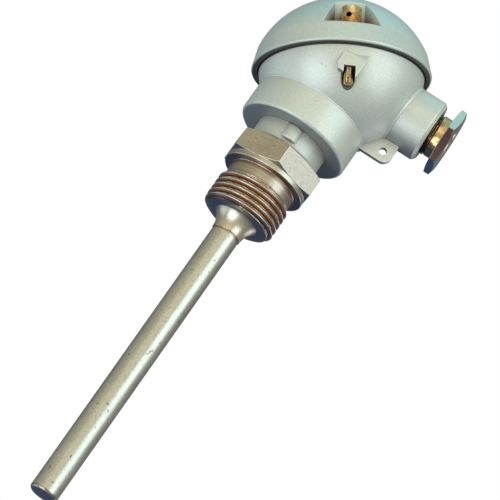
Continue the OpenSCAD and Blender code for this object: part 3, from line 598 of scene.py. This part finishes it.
for name, side, turn, body, node in (
    ("front_lid_screw", -1, math.radians(67), "screw_front", "lid_screw_front"),
    ("back_lid_screw", 1, 0.0, "screw_back", "lid_screw_back"),
):
    seat = (
        Matrix.Translation((0, 0, BOWL_Z * mm))
        @ Matrix.Rotation(-LID_TILT, 4, "Y")
        @ Matrix.Translation((-SCREW_SHIFT * mm, side * SCREW_REACH * mm, POCKET_H * mm))
        @ Matrix.Rotation(turn, 4, "Z")
    )
    across_head = seat @ Matrix.Translation((0, 0, WIRE_HOLE_Z * mm)) @ Matrix.Rotation(math.pi / 2, 4, "Y")
    screw = turned(name, lid_screw_outline, 48, 0.0, seat)
    drill = turned("wire_hole", wire_hole_outline, 32, 0.0, across_head)
    slot_cut = block("driver_slot", (-4, -DRIVER_SLOT_W / 2, DRIVER_SLOT_Z), (4, DRIVER_SLOT_W / 2, 6), seat)
    cut_away(screw, drill, slot_cut)
    screw.data.materials.clear()
    screw.data.materials.append(screw_brass)
    screw.data.materials.append(bore_dirt)
    # Faces inside the wire hole take the painted shade.
    into_head = seat.inverted()
    for face in screw.data.polygons:
        spot = into_head @ face.center
        off_hole = math.hypot(spot.y, spot.z - WIRE_HOLE_Z * mm)
        in_hole = abs(spot.x) < (HEAD_R - 0.2) * mm and off_hole < (WIRE_HOLE_R + 0.01) * mm
        face.material_index = 1 if in_hole else 0
    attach(screw, body)
    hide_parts(node)

# ---------------------------------------------------------------------------
# Cable entry
# A brass pressure screw with a hexagon and a flared bore squeezes a rubber
# ring between two steel washers; its thread shows at the boss's mouth.
# ---------------------------------------------------------------------------
GLAND_X, GLAND_HEX_X, GLAND_END_X = 25.7, 33.1, 35.3
GLAND_FLATS, GLAND_TURN = 17.0, math.radians(30)
GLAND_BORE_R, GLAND_MOUTH_R, GLAND_FLARE = 3.6, 4.4, 0.9
GLAND_THREAD_R, GLAND_PITCH, GLAND_DEPTH = 6.25, 1.27, 0.61
GLAND_THREAD_L, GLAND_NECK_R = 4.95, 6.0


def gland_marks(metal, spot):
    """The hexagon is plated, two of its flats carry a painted dark reflection, and the thread has painted
    shadow.
    """
    x, y, z = metal.parts(spot)
    c, s = math.cos(GLAND_TURN), math.sin(GLAND_TURN)
    flat_r, thread_end = GLAND_FLATS / 2, GLAND_X + GLAND_THREAD_L
    plated = metal.between(x, (GLAND_HEX_X - 0.1) * mm, (GLAND_HEX_X + 0.05) * mm)
    # Painted reflection: two opposite flats are painted dark.
    off_middle = abs(y * c + z * s - ENTRY_Z * s * mm)
    tarnished = plated * metal.between(off_middle, (flat_r - 0.2) * mm, (flat_r - 0.06) * mm)
    # Painted shadow on the thread at and inside the boss's mouth.
    threaded = metal.between(x, (thread_end + 0.1) * mm, (thread_end - 0.3) * mm)
    return [
        (plated * 0.9, (0.72, 0.70, 0.62)),
        (tarnished * 0.92, (0.085, 0.035, 0.045)),
        (threaded * 0.95, (0.03, 0.012, 0.012)),
    ]


gland_brass = brass("gland_brass", gland_marks)


def gland_outline(angle):
    """Bore, thread, neck, hexagon and the flared mouth, along the screw's axis."""
    flat_r = GLAND_FLATS / 2
    hex_r = hex_radius(angle, GLAND_FLATS, GLAND_TURN)
    share = corner_share(hex_r, GLAND_FLATS)
    total = GLAND_END_X - GLAND_X
    collar = GLAND_HEX_X - GLAND_X
    points = [(GLAND_BORE_R, 0.0), (5.5, 0.0)]
    for z in spread(0.05, GLAND_THREAD_L, 64):
        crest = GLAND_THREAD_R - thread_depth(z, angle, GLAND_PITCH, GLAND_DEPTH)
        run_out = 5.7 + max(0.0, GLAND_THREAD_L + 0.45 - z)
        points.append((min(crest, 5.55 + z, run_out), z))
    points += [(GLAND_NECK_R, GLAND_THREAD_L + 0.4), (GLAND_NECK_R, collar - 0.25)]
    points += [(GLAND_NECK_R + 0.08, collar - 0.08), (GLAND_NECK_R + 0.25, collar)]
    points += [(flat_r, collar), (hex_r, collar + 0.225 * share)]
    points += [(hex_r, total - 0.45 * share), (flat_r, total)]
    points += [(GLAND_MOUTH_R + 0.22, total), (GLAND_MOUTH_R + 0.08, total - 0.04)]
    for turn in spread(0.0, math.pi / 2, 6):
        in_mouth = GLAND_MOUTH_R - (GLAND_MOUTH_R - GLAND_BORE_R) * math.sin(turn)
        points.append((in_mouth, total - 0.12 - GLAND_FLARE * (1 - math.cos(turn))))
    return points


gland_place = Matrix.Translation((GLAND_X * mm, 0, ENTRY_Z * mm)) @ Matrix.Rotation(math.pi / 2, 4, "Y")
gland = turned("pressure_screw", gland_outline, 192, GLAND_TURN, gland_place)
gland.data.materials.append(gland_brass)
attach(gland, "gland")
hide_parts("gland_screw")

# ---------------------------------------------------------------------------
# Terminals, their screws, the leads and the washers
# Four brass blocks on a ceramic base. The clamp, base and earth screws, the
# leads and the entry's washers are zinc-plated or bare bright metal.
# ---------------------------------------------------------------------------
wear(brass("terminal_brass"), "terminal_1", "terminal_2", "terminal_3", "terminal_4")

plating = Finish("zinc_plating")
spot = plating.place()
cloud = plating.noise(spot, 300.0, 3.0)
wear(
    plating.surface(
        Base_Color=plating.mixed(cloud, (0.58, 0.58, 0.55), (0.72, 0.73, 0.74)), Metallic=0.95,
        Roughness=plating.between(cloud, 0.3, 0.7, 0.22, 0.36),
        Normal=plating.bump(0.15, 0.02, plating.noise(spot, 3000.0)),
    ),
    "clamp_screws", "base_screws", "earth_screw", "earth_washer", "lead_wires",
    "gland_outer_washer", "gland_inner_washer",
)

# ---------------------------------------------------------------------------
# Ceramic pieces
# The terminal base, the four-bore rod and the resistor's body are pale
# glazed ceramic, pressed and fired, with a few dark specks.
# ---------------------------------------------------------------------------
glaze = Finish("glazed_ceramic")
spot = glaze.place()
cloud = glaze.noise(spot, 120.0, 3.0)
specks = glaze.between(glaze.noise(spot, 900.0, 1.0), 0.74, 0.78)
tone = glaze.layered(
    glaze.mixed(cloud, (0.80, 0.76, 0.66), (0.88, 0.86, 0.78)),
    (specks * 0.6, (0.35, 0.27, 0.18)),
)
wear(
    glaze.surface(
        Base_Color=tone, Roughness=0.38, Coat_Weight=0.6, Coat_Roughness=0.12,
        Normal=glaze.bump(0.12, 0.1, cloud),
    ),
    "terminal_base", "insulating_rod", "measuring_resistor",
)

# ---------------------------------------------------------------------------
# Studio
# A pale floor under the tube's tip, soft lamps, a white surround and a grey
# tent for reflections. The camera looks up at the thermometer, so the floor
# is open from below.
# ---------------------------------------------------------------------------
CAMERA_AWAY, CAMERA_ROLL, LENS = 1.080, math.radians(35.04), 294.2
LOOK_Z, LOOK_RIGHT = -23.6, 9.28

ahead = Vector((-0.0911, 0.9291, 0.3584)).normalized()
level = Vector((0.9952, 0.0976, 0.0)).normalized()
upright = level.cross(ahead)
right = math.cos(CAMERA_ROLL) * level + math.sin(CAMERA_ROLL) * upright
up = -math.sin(CAMERA_ROLL) * level + math.cos(CAMERA_ROLL) * upright
aim = Vector((0, 0, LOOK_Z * mm)) + LOOK_RIGHT * mm * right

scene = bpy.context.scene
camera_data = bpy.data.cameras.new("camera")
camera_data.lens, camera_data.sensor_width = LENS, 36.0
camera_data.clip_start, camera_data.clip_end = 0.05, 20.0
camera = bpy.data.objects.new("camera", camera_data)
facing = Matrix((right, up, -ahead)).transposed().to_4x4()
camera.matrix_world = Matrix.Translation(aim - CAMERA_AWAY * ahead) @ facing
scene.collection.objects.link(camera)
scene.camera = camera
scene.view_settings.view_transform = "Standard"


def lamp(name, direction, away, wide, tall, power, colour):
    """A soft area lamp that faces the object."""
    data = bpy.data.lights.new(name, "AREA")
    data.shape, data.size, data.size_y = "RECTANGLE", wide, tall
    data.energy, data.color = power, colour
    made = bpy.data.objects.new(name, data)
    made.location = Vector((0, 0, -0.01)) + Vector(direction).normalized() * away
    made.rotation_euler = (-Vector(direction)).to_track_quat("-Z", "Y").to_euler()
    scene.collection.objects.link(made)


lamp("key_lamp", (0.72, -0.62, 0.25), 0.9, 0.72, 0.82, 3.3, (0.73, 0.90, 1.0))
lamp("low_left_lamp", (-0.38, -0.63, -0.62), 1.0, 0.7, 0.7, 4.2, (0.78, 0.91, 1.0))
lamp("front_lamp", (-0.15, -0.85, 0.42), 1.1, 0.9, 0.8, 0.7, (1.0, 0.95, 0.80))
lamp("left_lamp", (-0.82, 0.15, -0.52), 1.0, 0.7, 0.7, 1.3, (0.78, 0.97, 1.0))
lamp("top_lamp", (-0.25, 0.02, 0.97), 1.0, 0.9, 0.9, 1.05, (0.38, 0.82, 1.0))
lamp("back_lamp", (0.74, 0.66, -0.16), 1.1, 0.5, 0.5, 1.0, (1.0, 0.96, 0.90))


def graded(finish, front, dark, light, above, top, behind, back):
    """A surround from dark to light in front, with tones of its own on top and at the back."""
    return finish.layered(finish.mixed(front, dark, light), (above, top), (behind, back))


scene.world = bpy.data.worlds.new("white_surround")
surround = Finish("white_surround", scene.world)
paths = surround.node("ShaderNodeLightPath").socket.node.outputs
seen = [Value(surround, paths[name]) for name in ("Is Camera Ray", "Is Glossy Ray", "Is Transmission Ray")]
shown = seen[0].worked("MAXIMUM", seen[1]).worked("MAXIMUM", seen[2])
x, y, z = surround.parts(surround.node("ShaderNodeTexCoord", out="Generated"))
tint = graded(
    surround, surround.between(z * 0.35 - y * 0.75, -0.35, 0.75), (0.020, 0.035, 0.090), (0.70, 0.67, 0.49),
    surround.between(z * 0.8 - x * 0.5 + y * 0.3, 0.2, 0.9), (0.17, 0.42, 0.47),
    surround.between(y, 0.2, 0.8) * surround.between(z, -0.3, 0.1), (0.46, 0.46, 0.43),
)
ambient = surround.node("ShaderNodeBackground", None, tint, 1.0)
white = surround.node("ShaderNodeBackground", None, (1.0, 1.0, 1.0), 1.0)
either = surround.node("ShaderNodeMixShader", None, shown, ambient, white)
surround.node("ShaderNodeOutputWorld", None, either)

FLOOR_HALF, FLOOR_Z = 1.2, (TUBE_END - 0.2) * mm
floor_mesh = bmesh.new()
bmesh.ops.create_grid(floor_mesh, x_segments=1, y_segments=1, size=FLOOR_HALF)
bmesh.ops.translate(floor_mesh, verts=floor_mesh.verts, vec=(0, 0, FLOOR_Z))
floor = finished("pale_floor", floor_mesh)
pale = Finish("pale_floor")
spot = pale.place()
x, y = pale.parts(spot)[:2]
paint = pale.node(
    "ShaderNodeBsdfPrincipled", None,
    Base_Color=pale.mixed(pale.noise(spot, 40.0, 3.0), (0.84, 0.66, 0.66), (0.88, 0.70, 0.70)),
    Roughness=0.8, Emission_Color=(1.0, 1.0, 1.0), Emission_Strength=0.32,
)
clear = pale.node("ShaderNodeBsdfTransparent")
far_off = pale.between((x * x + y * y) ** 0.5, 0.25, 1.0)
from_below = pale.node("ShaderNodeNewGeometry", out="Backfacing")
shadow_ray = pale.node("ShaderNodeLightPath", out="Is Shadow Ray")
open_share = from_below.worked("MAXIMUM", shadow_ray).worked("MAXIMUM", far_off)
covered = pale.node("ShaderNodeMixShader", None, open_share, paint, clear)
pale.node("ShaderNodeOutputMaterial", None, covered)
floor.data.materials.append(pale.owner)

tent_mesh = bmesh.new()
bmesh.ops.create_uvsphere(tent_mesh, u_segments=48, v_segments=24, radius=2.5)
tent = finished("grey_tent", tent_mesh)
grey = Finish("grey_tent")
y, z = grey.parts(grey.place())[1:]
tint = graded(
    grey, grey.between(z * 0.50 - y * 0.65, -1.5, 1.9), (0.040, 0.065, 0.150), (0.70, 0.63, 0.43),
    grey.between(z, 1.2, 2.4), (0.32, 0.50, 0.50),
    grey.between(y, 0.8, 2.2) * grey.between(z, -0.8, 0.1), (0.16, 0.17, 0.18),
)
grey.node("ShaderNodeOutputMaterial", None, grey.node("ShaderNodeEmission", None, tint, 1.0))
tent.data.materials.append(grey.owner)

# Only mirror-like reflections see the tent. The floor shows to the camera, and lights nothing.
tent.visible_camera = tent.visible_diffuse = tent.visible_shadow = tent.visible_transmission = False
floor.visible_glossy = floor.visible_diffuse = False
